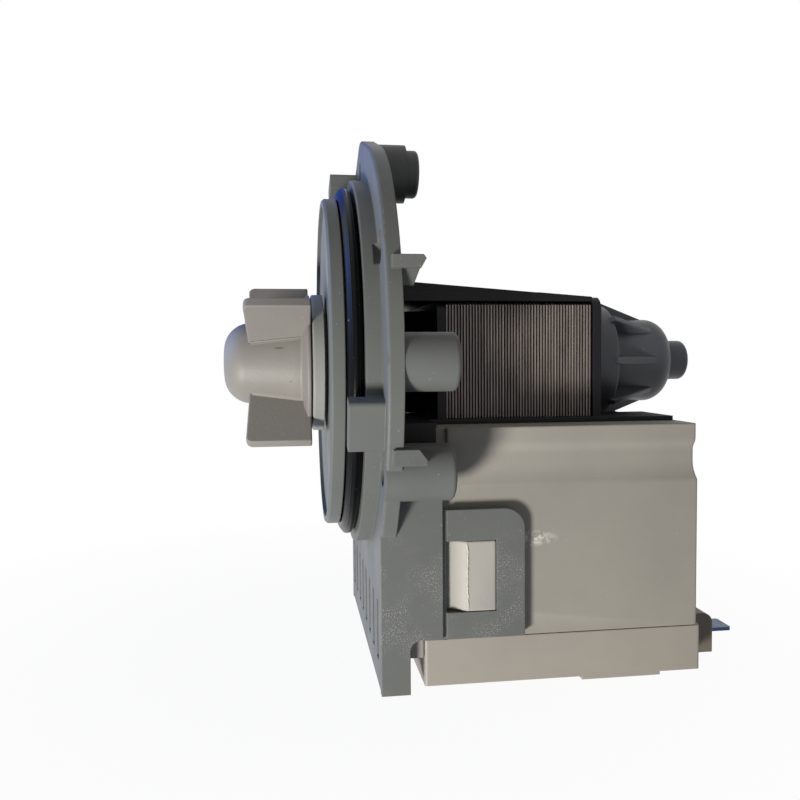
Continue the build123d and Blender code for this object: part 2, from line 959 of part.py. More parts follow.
def terminal_slot(side, x0, x1):
    """Return the cutter for one terminal's slot through a wall."""
    middle = side * terminal_offset
    half = terminal_width / 2 + nest_gap
    thick = terminal_thickness / 2 + nest_gap
    return block(
        x0, x1, middle - half, middle + half, -terminal_level - thick, -terminal_level + thick
    )


def make_terminal_block():
    body = block(
        cover_back, block_back, -block_half_width, block_half_width, -block_bottom, -block_top
    )
    top_edge = body.edges().filter_by(Axis.Y).sort_by(Axis.X)[-2:].sort_by(Axis.Z).last
    body = fillet(top_edge, block_round)
    for side in (-1, 1):
        body -= terminal_slot(side, cover_back - cut_over, block_back + cut_over)
    return body


def make_terminal(side):
    middle = side * terminal_offset
    length = terminal_tip - terminal_front
    outline = Pos(terminal_front + length / 2, middle) * Rectangle(length, terminal_width)
    outline = chamfer(outline.vertices().sort_by(Axis.X)[2:], terminal_bevel)
    bottom = -terminal_level - terminal_thickness / 2
    return Pos(0, 0, bottom) * extrude(outline, amount=terminal_thickness)


# Bobbins, windings and the thermal cut-out

def leg_ring(side, inner_grow, outer_grow, low, high, corner):
    """Return an upright rectangular ring round one leg of the core."""
    middle = side * (core_half_width + leg_inner) / 2
    length = core_length
    width = core_half_width - leg_inner
    outer = RectangleRounded(length + 2 * outer_grow, width + 2 * outer_grow, corner)
    hole = Rectangle(length + 2 * inner_grow, width + 2 * inner_grow)
    place = Pos((core_front + core_back) / 2, middle, low)
    return place * extrude(outer - hole, amount=high - low)


def make_bobbin(side):
    tube_grow = seat_gap + bobbin_wall
    flange_grow = tube_grow + winding_build
    low = -leg_drop + bobbin_margin
    high = -bobbin_top
    corner = winding_build * winding_corner_share
    body = leg_ring(side, seat_gap, tube_grow, low, high, bobbin_wall)
    body += leg_ring(side, seat_gap, flange_grow, low, low + bobbin_flange, corner)
    return body + leg_ring(side, seat_gap, flange_grow, high - bobbin_flange, high, corner)


def make_winding(side):
    tube_grow = seat_gap + bobbin_wall + nest_gap
    outer_grow = tube_grow + winding_build - clear_gap
    low = -leg_drop + bobbin_margin + bobbin_flange
    high = -bobbin_top - bobbin_flange
    corner = winding_build * winding_corner_share
    return leg_ring(side, tube_grow, outer_grow, low, high, corner)


def make_thermal_cutout():
    front = core_back + seat_gap + bobbin_wall + winding_build
    return block(
        front, front + cutout_length, -cutout_width / 2, cutout_width / 2,
        -cutout_level - cutout_height / 2, -cutout_level + cutout_height / 2,
    )


# Every piece by its node name

pieces = {
    "impeller": make_impeller(),
    "coupling_plug": make_coupling_plug(),
    "drive_dog": make_drive_dog(),
    "rotor_shaft": make_rotor_shaft(),
    "magnet_carrier": make_magnet_carrier(),
    "rotor_magnet": make_rotor_magnet(),
    "front_thrust_washer": make_thrust_washer(front_bush_back + clear_gap),
    "rear_thrust_washer": make_thrust_washer(carrier_back),
    "front_bush": make_bush(collar_pocket),
    "rear_bush": make_bush(rear_bush_front),
    "front_bush_mount": make_bush_mount(collar_pocket),
    "rear_bush_mount": make_bush_mount(rear_bush_front),
    "bearing_collar": make_bearing_collar(),
    "shaft_lip_seal": make_lip_seal(),
    "collar_seal_ring": make_collar_ring(),
    "rotor_can": make_rotor_can(),
    "plug_seal_ring": make_plug_seal(),
    "flange_moulding": make_flange_moulding(),
    "stator_core": make_core(),
    "core_yoke": make_yoke(),
    "motor_frame": make_motor_frame(),
    "rear_bell": make_rear_bell(),
    "coil_housing": make_coil_housing(),
    "coil_cover": make_coil_cover(),
    "terminal_block": make_terminal_block(),
    "near_terminal": make_terminal(-1),
    "far_terminal": make_terminal(1),
    "near_bobbin": make_bobbin(-1),
    "far_bobbin": make_bobbin(1),
    "near_winding": make_winding(-1),
    "far_winding": make_winding(1),
    "thermal_cutout": make_thermal_cutout(),
}

os.makedirs("parts", exist_ok=True)
for name, piece in pieces.items():
    export_step(piece, f"parts/{name}.step")
    print(name, round(piece.volume, 1))
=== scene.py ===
# %% [markdown]
# This scene dresses a washing machine's drain pump. Its shapes come packed from CAD, so
# the script loads them first and only then thinks about looks: every piece arrives in
# its real place and at its real size, in metres, with the rotor's axis along X.

# %%
# Washer drain pump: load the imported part
import bmesh
import bpy
import math
import random
import numpy as np
from mathutils import Matrix, Vector


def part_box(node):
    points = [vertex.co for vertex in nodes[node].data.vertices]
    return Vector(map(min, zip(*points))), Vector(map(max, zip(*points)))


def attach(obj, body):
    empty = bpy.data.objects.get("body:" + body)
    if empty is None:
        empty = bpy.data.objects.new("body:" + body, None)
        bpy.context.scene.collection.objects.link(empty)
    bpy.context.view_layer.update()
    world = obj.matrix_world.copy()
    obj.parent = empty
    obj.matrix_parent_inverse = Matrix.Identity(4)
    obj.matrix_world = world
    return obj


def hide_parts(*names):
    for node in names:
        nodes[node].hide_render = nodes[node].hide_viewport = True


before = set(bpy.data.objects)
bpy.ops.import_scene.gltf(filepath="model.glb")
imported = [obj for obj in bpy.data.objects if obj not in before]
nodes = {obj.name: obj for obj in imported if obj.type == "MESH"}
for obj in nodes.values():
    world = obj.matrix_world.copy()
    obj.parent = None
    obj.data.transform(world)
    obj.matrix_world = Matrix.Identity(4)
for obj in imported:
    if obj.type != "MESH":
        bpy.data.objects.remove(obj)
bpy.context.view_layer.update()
print("pieces in the frame:", len(nodes))

# %% [markdown]
# Colours in Blender's shaders are linear light, but colours read off a product are sRGB.
# One small function turns a hex colour into the linear value, so every finish below
# can be written the way a colour picker shows it.

# %%
# Colour helper
def linear(hex_colour):
    """sRGB hex to linear RGBA: c / 12.92 below 0.04045, else ((c + 0.055) / 1.055) ** 2.4."""
    channels = [int(hex_colour[i:i + 2], 16) / 255 for i in (1, 3, 5)]
    curve = [c / 12.92 if c <= 0.04045 else ((c + 0.055) / 1.055) ** 2.4 for c in channels]
    return (*curve, 1.0)


print("mid grey in linear light:", round(linear("#808080")[0], 3))

# %% [markdown]
# A material is a small graph of nodes. Adding each node, setting its sockets and wiring
# it up takes the same three steps every time, so one function does them. A value that is
# another node's socket becomes a link, and anything else is set directly on the socket.

# %%
# Node helper
def add_node(tree, kind, settings=None, **sockets):
    """Add a node, apply its settings, then link or set each named socket."""
    node = tree.nodes.new(kind)
    for key, value in (settings or {}).items():
        setattr(node, key, value)
    for key, value in sockets.items():
        name = key.replace("_", " ")
        socket = node.inputs[int(name[2:]) if name.startswith("in") else name]
        if isinstance(value, bpy.types.NodeSocket):
            tree.links.new(value, socket)
        else:
            socket.default_value = value
    return node


def new_material(name):
    """Return a material's node tree, emptied down to its output."""
    material = bpy.data.materials.new(name)
    material.use_nodes = True
    material.node_tree.nodes.clear()
    return material, material.node_tree


print("helpers ready")

# %% [markdown]
# Moulded plastic is never one flat colour. The pigment drifts a little, the mould's
# spark-eroded surface scatters light, and every edge carries a tiny radius. Cutting
# those radii into each mesh would cost thousands of faces, so the Bevel node rounds
# the shading of the edges instead, and two noises give the drift and the grain.

# %%
# Moulded plastic
def plastic(name, colour, drift="#000000", amount=0.3, rough=0.5, edge=0.0003, grain=0.15,
            sheen=0.4, dust=0.3, patch=None, patch_colour="#E4E2DA"):
    """Build a moulded finish: colour drift, fine grain, rounded edges and a little dust."""
    material, tree = new_material(name)
    place = add_node(tree, "ShaderNodeTexCoord").outputs["Object"]
    cloud = add_node(tree, "ShaderNodeTexNoise", Vector=place, Scale=55.0, Detail=5.0,
                     Roughness=0.6).outputs["Fac"]
    soft = add_node(tree, "ShaderNodeMapRange", in0=cloud, in1=0.35, in2=0.7, in3=0.0,
                    in4=amount).outputs[0]
    mixed = add_node(tree, "ShaderNodeMix", {"data_type": "RGBA"}, in0=soft,
                     in6=linear(colour), in7=linear(drift)).outputs[2]
    if patch:
        mask = patch(tree, place)
        mixed = add_node(tree, "ShaderNodeMix", {"data_type": "RGBA"}, in0=mask, in6=mixed,
                         in7=linear(patch_colour)).outputs[2]
    flecks = add_node(tree, "ShaderNodeTexNoise", Vector=place, Scale=1700.0,
                      Detail=1.0).outputs["Fac"]
    mote = add_node(tree, "ShaderNodeMapRange", in0=flecks, in1=0.76, in2=0.82, in3=0.0,
                    in4=dust).outputs[0]
    mixed = add_node(tree, "ShaderNodeMix", {"data_type": "RGBA"}, in0=mote, in6=mixed,
                     in7=linear("#D8D8D4")).outputs[2]
    speck = add_node(tree, "ShaderNodeTexNoise", Vector=place, Scale=2600.0, Detail=2.0)
    level = add_node(tree, "ShaderNodeMapRange", in0=cloud, in1=0.3, in2=0.7,
                     in3=rough - 0.06, in4=rough + 0.06).outputs[0]
    rounded = add_node(tree, "ShaderNodeBevel", {"samples": 6}, Radius=edge).outputs[0]
    bump = add_node(tree, "ShaderNodeBump", Strength=grain, Distance=0.0001,
                    Height=speck.outputs["Fac"], Normal=rounded).outputs[0]
    shader = add_node(tree, "ShaderNodeBsdfPrincipled", Base_Color=mixed, Roughness=level,
                      Normal=bump, Specular_IOR_Level=sheen)
    add_node(tree, "ShaderNodeOutputMaterial", Surface=shader.outputs[0])
    return material


TORN_SPOT = (0.0298, -0.0325, -0.0361)
HOOK_FOOT, HOOK_FACE = 0.0331, 0.0347
NICK_SPOTS = (((-0.0194, -0.0101, 0.0033), (900.0, 900.0, 4200.0)),
              ((-0.0169, -0.0104, -0.0041), (4500.0, 900.0, 4500.0)))


def stress_marks_and_hook_highlight(tree, place):
    """Whiten the torn spot beside the clip, and lighten the hooks' outer faces with a painted
    highlight.
    """
    offset = add_node(tree, "ShaderNodeVectorMath", {"operation": "SUBTRACT"}, in0=place,
                      in1=TORN_SPOT).outputs[0]
    scaled = add_node(tree, "ShaderNodeVectorMath", {"operation": "MULTIPLY"}, in0=offset,
                      in1=(160.0, 120.0, 620.0)).outputs[0]
    away = add_node(tree, "ShaderNodeVectorMath", {"operation": "LENGTH"}, in0=scaled)
    near = add_node(tree, "ShaderNodeMapRange", in0=away.outputs["Value"], in1=0.2, in2=1.2,
                    in3=1.0, in4=0.0).outputs[0]
    torn = add_node(tree, "ShaderNodeTexNoise", Vector=place, Scale=900.0, Detail=4.0)
    sharp = add_node(tree, "ShaderNodeMapRange", in0=torn.outputs["Fac"], in1=0.45, in2=0.56,
                     in3=0.0, in4=1.0).outputs[0]
    spot = add_node(tree, "ShaderNodeMath", {"operation": "MULTIPLY"}, in0=near,
                    in1=sharp).outputs[0]
    # Painted highlight: the hooks' faces get lighter the further they stand out in Y, standing
    # in for the light they catch.
    apart = add_node(tree, "ShaderNodeSeparateXYZ", Vector=place).outputs
    depth = add_node(tree, "ShaderNodeMath", {"operation": "ABSOLUTE"},
                     in0=apart["Y"]).outputs[0]
    hook_face_highlight = add_node(tree, "ShaderNodeMapRange", in0=depth, in1=HOOK_FOOT, in2=HOOK_FACE,
                      in3=0.0, in4=0.24).outputs[0]
    return add_node(tree, "ShaderNodeMath", {"operation": "MAXIMUM"}, in0=spot,
                    in1=hook_face_highlight).outputs[0]


def scuffs(tree, place):
    """Scatter pale rub marks on the near side of the bracket, denser along its edges."""
    apart = add_node(tree, "ShaderNodeSeparateXYZ", Vector=place).outputs
    near = add_node(tree, "ShaderNodeMapRange", in0=apart["Y"], in1=-0.0345, in2=-0.0335,
                    in3=1.0, in4=0.0).outputs[0]
    low = add_node(tree, "ShaderNodeMapRange", in0=apart["Z"], in1=-0.033, in2=-0.036,
                   in3=0.0, in4=1.0).outputs[0]
    area = add_node(tree, "ShaderNodeTexNoise", Vector=place, Scale=140.0, Detail=2.0)
    dense = add_node(tree, "ShaderNodeMapRange", in0=area.outputs["Fac"], in1=0.45, in2=0.62,
                     in3=0.0, in4=1.0).outputs[0]
    marks = add_node(tree, "ShaderNodeTexNoise", Vector=place, Scale=3600.0, Detail=3.0)
    sharp = add_node(tree, "ShaderNodeMapRange", in0=marks.outputs["Fac"], in1=0.54, in2=0.68,
                     in3=0.0, in4=0.5).outputs[0]
    for factor in (near, low, dense):
        sharp = add_node(tree, "ShaderNodeMath", {"operation": "MULTIPLY"}, in0=sharp,
                         in1=factor).outputs[0]
    return sharp


flange_grey = plastic("flange_grey", "#676A67", "#5A5D5B", 0.5, rough=0.5, sheen=0.3,
                      patch=scuffs, patch_colour="#C9CBC8")
collar_grey = plastic("collar_grey", "#929490", "#848682", 0.4, rough=0.5, sheen=0.3)


def nicks(tree, place):
    """Darken two short tool marks on the hub: 1 where |d| < 1 in each mark's own scale."""
    marks = []
    for spot, scale in NICK_SPOTS:
        offset = add_node(tree, "ShaderNodeVectorMath", {"operation": "SUBTRACT"}, in0=place,
                          in1=spot).outputs[0]
        scaled = add_node(tree, "ShaderNodeVectorMath", {"operation": "MULTIPLY"},
                          in0=offset, in1=scale).outputs[0]
        away = add_node(tree, "ShaderNodeVectorMath", {"operation": "LENGTH"}, in0=scaled)
        marks.append(add_node(tree, "ShaderNodeMapRange", in0=away.outputs["Value"], in1=0.7,
                              in2=1.1, in3=0.75, in4=0.0).outputs[0])
    return add_node(tree, "ShaderNodeMath", {"operation": "MAXIMUM"}, in0=marks[0],
                    in1=marks[1]).outputs[0]


impeller_grey = plastic("impeller_grey", "#89867F", "#7A7770", 0.4, rough=0.5, grain=0.45,
                        patch=nicks, patch_colour="#54523F")
housing_beige = plastic("housing_beige", "#99968D", "#8B8983", 0.5, rough=0.55,
                        edge=0.0006, patch=stress_marks_and_hook_highlight)
# The flash is thin plastic and so paler; its light tone also paints the highlight that the
# ridge catches.
flash_pale_and_highlight = plastic("flash_pale_and_highlight", "#D2CEC0", "#C6C2B4", 0.4, rough=0.5, edge=0.0)
cover_beige = plastic("cover_beige", "#9C9890", "#8F8C85", 0.5, rough=0.5)
# Painted shade: the terminal block is the housing's beige plastic, and this darker beige
# paints the half shade it stands in.
block_shaded_beige = plastic("block_shaded_beige", "#69645B", "#5F5A52", 0.5, rough=0.5)
black_plastic = plastic("black_plastic", "#100F13", "#18171B", 0.5, rough=0.5, sheen=0.18)
bell_charcoal = plastic("bell_charcoal", "#47494F", "#515359", 0.5, rough=0.42, sheen=0.42)
bobbin_white = plastic("bobbin_white", "#DAD8CE", "#CFCCC0", 0.4, rough=0.5)
seal_black = plastic("seal_black", "#07080A", "#0C0D10", 0.4, rough=0.3, sheen=0.1,
                     edge=0.0002, grain=0.05)
carbon_black = plastic("carbon_black", "#242424", "#303030", 0.4, rough=0.6)
print("plastics:", len(bpy.data.materials))

# %% [markdown]
# The core's sheets are punched from electrical steel. A punched edge is half sheared
# bright and half torn dull, and each sheet catches the light a little differently.
# The X coordinate divided by the sheet pitch gives every sheet its own number, and a
# white noise of that number gives it its own brightness.

# %%
# Metals
SHEET_PITCH = 0.00065
CORE_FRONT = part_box("stator_core")[0][0]


def core_finish(name):
    """Build the finish of the stacked sheets' edges."""
    material, tree = new_material(name)
    place = add_node(tree, "ShaderNodeTexCoord").outputs["Object"]
    along = add_node(tree, "ShaderNodeSeparateXYZ", Vector=place).outputs["X"]
    from_front = add_node(tree, "ShaderNodeMath", {"operation": "SUBTRACT"}, in0=along,
                          in1=float(CORE_FRONT)).outputs[0]
    number = add_node(tree, "ShaderNodeMath", {"operation": "DIVIDE"}, in0=from_front,
                      in1=SHEET_PITCH).outputs[0]
    whole = add_node(tree, "ShaderNodeMath", {"operation": "FLOOR"}, in0=number).outputs[0]
    own = add_node(tree, "ShaderNodeTexWhiteNoise", {"noise_dimensions": "1D"},
                   W=whole).outputs["Value"]
    long_grain = add_node(tree, "ShaderNodeMapping", Vector=place,
                          Scale=(1.0, 1.0, 0.06)).outputs[0]
    scratch = add_node(tree, "ShaderNodeTexNoise", Vector=long_grain, Scale=2500.0,
                       Detail=3.0).outputs["Fac"]
    both = add_node(tree, "ShaderNodeMath", {"operation": "MULTIPLY_ADD"}, in0=own, in1=0.4,
                    in2=scratch).outputs[0]
    tone = add_node(tree, "ShaderNodeMapRange", in0=both, in1=0.35, in2=1.05, in3=0.0,
                    in4=1.0).outputs[0]
    colour = add_node(tree, "ShaderNodeMix", {"data_type": "RGBA"}, in0=tone,
                      in6=linear("#645C58"), in7=linear("#978E86")).outputs[2]
    shader = add_node(tree, "ShaderNodeBsdfPrincipled", Base_Color=colour, Metallic=0.35,
                      Roughness=0.5, Specular_IOR_Level=0.3)
    add_node(tree, "ShaderNodeOutputMaterial", Surface=shader.outputs[0])
    return material


def metal(name, colour, rough):
    """Build a plain worked metal with a little uneven gloss."""
    material, tree = new_material(name)
    place = add_node(tree, "ShaderNodeTexCoord").outputs["Object"]
    cloud = add_node(tree, "ShaderNodeTexNoise", Vector=place, Scale=300.0,
                     Detail=4.0).outputs["Fac"]
    level = add_node(tree, "ShaderNodeMapRange", in0=cloud, in1=0.3, in2=0.7,
                     in3=rough - 0.08, in4=rough + 0.08).outputs[0]
    rounded = add_node(tree, "ShaderNodeBevel", {"samples": 6}, Radius=0.0002).outputs[0]
    shader = add_node(tree, "ShaderNodeBsdfPrincipled", Base_Color=linear(colour),
                      Metallic=1.0, Roughness=level, Normal=rounded)
    add_node(tree, "ShaderNodeOutputMaterial", Surface=shader.outputs[0])
    return material


core_steel = core_finish("core_steel")
shaft_steel = metal("shaft_steel", "#C9CACB", 0.25)
# Painted reflection: the tabs are silver tin, and their navy base colour paints the blue and
# dark surroundings they mirror.
tin_tab_painted_reflection = metal("tin_tab_painted_reflection", "#34425F", 0.3)
wire_copper = metal("wire_copper", "#A6592E", 0.4)
magnet_dark = metal("magnet_dark", "#4A4A4C", 0.5)
metals = (core_steel, shaft_steel, tin_tab_painted_reflection, wire_copper, magnet_dark)
print("metals:", [finish.name for finish in metals])

# %% [markdown]
# Every piece of the frame now gets its finish. Most are the real thing's own; the terminal
# block's darker beige is painted shade and the tabs' navy is a painted reflection. The table
# reads like a parts list, and a loop does the work.

# %%
# Dress the frame
finishes = {
    "flange_moulding": flange_grey, "bearing_collar": collar_grey,
    "shaft_lip_seal": seal_black, "collar_seal_ring": seal_black,
    "plug_seal_ring": seal_black, "rotor_can": black_plastic,
    "front_bush": carbon_black, "rear_bush": carbon_black,
    "front_bush_mount": seal_black, "rear_bush_mount": seal_black,
    "stator_core": core_steel, "core_yoke": core_steel,
    "motor_frame": black_plastic, "rear_bell": bell_charcoal,
    "coil_housing": housing_beige, "coil_cover": cover_beige,
    # The terminal block carries painted shade, and the two tabs a painted blue reflection.
    "terminal_block": block_shaded_beige, "near_terminal": tin_tab_painted_reflection, "far_terminal": tin_tab_painted_reflection,
    "near_bobbin": bobbin_white, "far_bobbin": bobbin_white,
    "near_winding": wire_copper, "far_winding": wire_copper,
    "thermal_cutout": black_plastic, "rotor_shaft": shaft_steel,
    "magnet_carrier": bobbin_white, "rotor_magnet": magnet_dark,
    "drive_dog": bobbin_white, "front_thrust_washer": bobbin_white,
    "rear_thrust_washer": bobbin_white, "impeller": impeller_grey,
    "coupling_plug": impeller_grey,
}
for name, finish in finishes.items():
    nodes[name].data.materials.clear()
    nodes[name].data.materials.append(finish)
print("dressed:", len(finishes), "of", len(nodes))

# %% [markdown]
# Round pieces come out of the frame as fans of flat facets. The pieces that catch the
# light most, the seal, the impeller and the bell, are worth turning again as smooth
# surfaces of revolution: a profile is swept round the rotor axis, the way the mould for
# it was cut on a lathe. Corners of the profile are rounded first with small arcs.

# %%
# Lathe helpers
def build(name, points, faces, finish, body, sharp=32):
    """Make a mesh object from points and faces, shade it smooth and let it ride on a body."""
    mesh = bpy.data.meshes.new(name)
    mesh.from_pydata([tuple(p) for p in points], [], faces)
    mesh.polygons.foreach_set("use_smooth", [True] * len(mesh.polygons))
    mesh.set_sharp_from_angle(angle=math.radians(sharp))
    mesh.materials.append(finish)
    mesh.update()
    piece = bpy.data.objects.new(name, mesh)
    bpy.context.scene.collection.objects.link(piece)
    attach(piece, body)
    return piece


def soften(points, radius, steps=5):
    """Round each inner corner of a line of (x, r) points with an arc of the radius."""
    out = [np.array(points[0], float)]
    for before, corner, after in zip(points, points[1:], points[2:]):
        corner = np.array(corner, float)
        one, two = np.array(before, float) - corner, np.array(after, float) - corner
        reach = min(radius, 0.45 * np.linalg.norm(one), 0.45 * np.linalg.norm(two))
        start = corner + one / np.linalg.norm(one) * reach
        end = corner + two / np.linalg.norm(two) * reach
        for t in np.linspace(0, 1, steps):
            out.append((1 - t) ** 2 * start + 2 * t * (1 - t) * corner + t ** 2 * end)
    out.append(np.array(points[-1], float))
    return np.array(out)


def swept(outline, steps):
    """Sweep a profile round X: P(i, j) = (x_i, r_i cos(2 pi j / n), r_i sin(2 pi j / n)).

    The faces look outward where the outer line of the profile runs towards +X.
    """
    x, r = np.array(outline).T
    turn = np.linspace(0, 2 * np.pi, steps, endpoint=False)
    grid = np.stack([
        np.repeat(x[:, None], steps, 1), np.outer(r, np.cos(turn)), np.outer(r, np.sin(turn)),
    ], axis=-1)
    faces = [
        (i * steps + j, i * steps + (j + 1) % steps, (i + 1) * steps + (j + 1) % steps,
         (i + 1) * steps + j)
        for i in range(len(x) - 1) for j in range(steps)
    ]
    return grid.reshape(-1, 3), faces


def prism(outline, thickness, turn):
    """Stand a flat (x, r) outline, drawn anticlockwise, up at a turn and thicken it."""
    flat = np.array(outline, float)
    half = thickness / 2
    out = [(x, r, side) for side in (-half, half) for x, r in flat]
    n = len(flat)
    c, s = math.cos(turn), math.sin(turn)
    points = [(x, r * c - w * s, r * s + w * c) for x, r, w in out]
    faces = [tuple(range(n))[::-1], tuple(range(n, 2 * n))]
    faces += [(i, (i + 1) % n, n + (i + 1) % n, n + i) for i in range(n)]
    return points, faces


def joined(*meshes):
    """Join several (points, faces) pairs into one pair."""
    points, faces = [], []
    for new_points, new_faces in meshes:
        base = len(points)
        points += [tuple(p) for p in new_points]
        faces += [tuple(base + k for k in face) for face in new_faces]
    return points, faces


def round_edges(piece, width, segments=3):
    """Round a piece's sharp edges with a bevel of the width."""
    bevel = piece.modifiers.new("round", "BEVEL")
    bevel.width = width
    bevel.segments = segments
    bevel.limit_method = "ANGLE"
    bevel.angle_limit = math.radians(40)
    bevel.harden_normals = True


print("lathe ready")

# %% [markdown]
# The plug's seal is a fat ring of soft rubber with a crowned back. Two fine ridges run
# round it where the two halves of its mould met, and they catch thin lines of light.

# %%
# Plug seal
MM = 0.001
low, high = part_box("plug_seal_ring")
seal_front, seal_back, seal_radius = low[0], high[0], high[2]
across = np.linspace(0, 1, 60)
crown = seal_radius - 1.5 * MM * (2 * across - 1) ** 2
ridge = sum(0.12 * MM * np.exp(-((across - place) / 0.018) ** 2) for place in (0.3, 0.72))
seal_outline = np.stack([seal_front + across * (seal_back - seal_front), crown + ridge], 1)
front_foot, back_foot = ((x, seal_radius - 4.5 * MM) for x in (seal_front, seal_back))
seal_outline = np.concatenate([[front_foot], seal_outline, [back_foot, front_foot]])
seal = build("plug_seal", *swept(seal_outline, 220), seal_black, "housing")
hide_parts("plug_seal_ring")
print("seal radius", round(seal_radius / MM, 1), "mm")

# %% [markdown]
# The impeller is one moulding: a hub with a blunt round nose, which widens slowly towards
# a round plate, and four straight vanes. The vanes' edges are rounded with a Bevel
# modifier, and a hollow fillet runs along each vane's foot, as it must for the plastic
# to flow in. Vane, fillet and hub all face outward, so that light rolls over the seams.

# %%
# Impeller
low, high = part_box("impeller")
nose, plate_back = low[0], high[0]
HUB, HUB_FRONT, NOSE_FLAT = 11.2 * MM, 8.4 * MM, 3.6 * MM
DOME, PLATE = 5.0 * MM, 15.7 * MM
RIM, FLARE, SOCKET, SOCKET_DEPTH = 1.7 * MM, 0.8 * MM, 8.2 * MM, 7.6 * MM
plate_front = plate_back - RIM
hub_length = plate_front - FLARE - nose


def hub_radius(u):
    """Hub radius u behind the nose: flat + a sqrt(1 - (1 - u / dome)^2) + b u / length."""
    blunt = np.sqrt(1 - (1 - np.minimum(u, DOME) / DOME) ** 2)
    taper = np.minimum(u / hub_length, 1)
    return NOSE_FLAT + (HUB_FRONT - NOSE_FLAT) * blunt + (HUB - HUB_FRONT) * taper


quarter = np.linspace(0, np.pi / 2, 24)
behind = np.concatenate([DOME * (1 - np.cos(quarter)), np.linspace(DOME, hub_length, 9)[1:]])
hub_line = np.stack([nose + behind, hub_radius(behind)], 1)
flare = np.stack([plate_front - FLARE + FLARE * np.sin(quarter),
                  HUB + FLARE - FLARE * np.cos(quarter)], 1)
back = soften([(plate_front, PLATE - 3.4 * MM), (plate_front, PLATE - 3 * MM),
               (plate_front + 0.9 * MM, PLATE), (plate_back, PLATE),
               (plate_back, SOCKET)], 0.3 * MM)
socket = [(nose + SOCKET_DEPTH, SOCKET), (nose + SOCKET_DEPTH, 0)]
hub_outline = np.concatenate([[(nose, 0)], hub_line, flare[1:], back, socket])
VANE, VANE_FRONT, VANE_ROOT, VANE_RADIUS = 2.4 * MM, nose + 5.2 * MM, 8.6 * MM, 22.0 * MM
SUNK = 0.6 * MM
vane = [
    (VANE_FRONT + 0.6 * MM, VANE_ROOT), (plate_back, VANE_ROOT), (plate_back, VANE_RADIUS),
    (VANE_FRONT + 1.2 * MM, VANE_RADIUS), (VANE_FRONT + 0.35 * MM, VANE_RADIUS - 0.35 * MM),
    (VANE_FRONT, VANE_RADIUS - 1.2 * MM),
]
TURNS = [math.radians(54 + 90 * i) for i in range(4)]
vanes = joined(*(prism(vane, VANE, turn) for turn in TURNS))


def foot_fillet(turn, side, radius=0.45 * MM):
    """Fill the corner between vane and hub: r = sqrt(hub^2 - w^2) + radius (1 - sin a)."""
    a = np.linspace(0, np.pi / 2, 8)
    over = VANE / 2 + radius * (1 - np.cos(a))
    w = np.concatenate([over, over[-1:], [VANE / 2 - 0.2 * MM]])
    c, s = math.cos(turn), math.sin(turn)
    points = []
    stations = np.linspace(VANE_FRONT + 1.2 * MM, plate_front + 0.2 * MM, 7)
    for x in stations:
        hub = hub_radius(x - nose)
        rise = np.sqrt(hub ** 2 - over ** 2) + radius * (1 - np.sin(a)) + 0.01 * MM
        r = np.concatenate([rise, [hub - SUNK] * 2])
        points += [(x, rr * c - side * ww * s, rr * s + side * ww * c)
                   for ww, rr in zip(w, r)]
    n, last = len(w), (len(stations) - 1) * len(w)
    faces = [(k + i, k + (i + 1) % n, k + n + (i + 1) % n, k + n + i)
             for k in range(0, last, n) for i in range(n)]
    faces += [tuple(range(n))[::-1], tuple(range(last, last + n))]
    return points, [face[::side] for face in faces]


feet = joined(*(foot_fillet(turn, side) for turn in TURNS for side in (-1, 1)))
impeller = build("impeller_hub", *joined(swept(hub_outline, 160), feet), impeller_grey,
                 "impeller", sharp=40)
blades = build("impeller_vanes", *vanes, impeller_grey, "impeller")
round_edges(blades, 0.35 * MM)
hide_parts("impeller")
print("vanes:", len(TURNS), "nose at", round(nose / MM, 1), "mm")

# %% [markdown]
# The housing's walls are not quite flat: a shallow waist runs round it under the top
# band, and swells out again in a cove. The CAD has two small steps there. The housing
# is copied, its two flat ledges are taken out, its walls are sliced into thin level
# strips, and the outer skin follows a smooth formula. The tray below is copied only to
# roll its edges, as every moulded edge is a little round.

# %%
# Shaped copies of frame pieces
WAIST_TOP, WAIST_IN, COVE_TOP, COVE_END = (-v * MM for v in (16.5, 18.5, 21.0, 25.0))
BAND_HALF, WAIST_HALF, WALL_HALF = 32.55 * MM, 32.15 * MM, 32.85 * MM
LEDGES = {-17.9 * MM: (32.35 * MM, 32.6 * MM), -25.0 * MM: (32.6 * MM, 32.85 * MM)}
SKIN, BACK_SKIN, STRIPS = 0.45 * MM, 66.75 * MM, np.arange(-15.5, -26.0, -0.5) * MM


def wall_half(z):
    """Half width of the housing: band, smoothstep u u (3 - 2 u) in, cove v v out, wall."""
    u = min(max((WAIST_TOP - z) / (WAIST_TOP - WAIST_IN), 0), 1)
    v = min(max((COVE_TOP - z) / (COVE_TOP - COVE_END), 0), 1)
    waist = BAND_HALF + (WAIST_HALF - BAND_HALF) * u * u * (3 - 2 * u)
    return waist + (WALL_HALF - WAIST_HALF) * v * v


def slice_level(work, heights):
    """Cut all faces of a bmesh by a level plane at each of the heights."""
    for height in heights:
        everything = work.verts[:] + work.edges[:] + work.faces[:]
        bmesh.ops.bisect_plane(work, geom=everything, plane_co=(0, 0, height),
                               plane_no=(0, 0, 1), dist=1e-6)


def layer_half(vert):
    """Half width of the step that a vertex of the housing belongs to."""
    for ledge, (above, below) in LEDGES.items():
        if abs(vert.co.z - ledge) < 1e-6:
            higher = any(e.other_vert(vert).co.z > ledge + 1e-6 for e in vert.link_edges)
            return above if higher else below
        if vert.co.z > ledge:
            return above
    return WALL_HALF


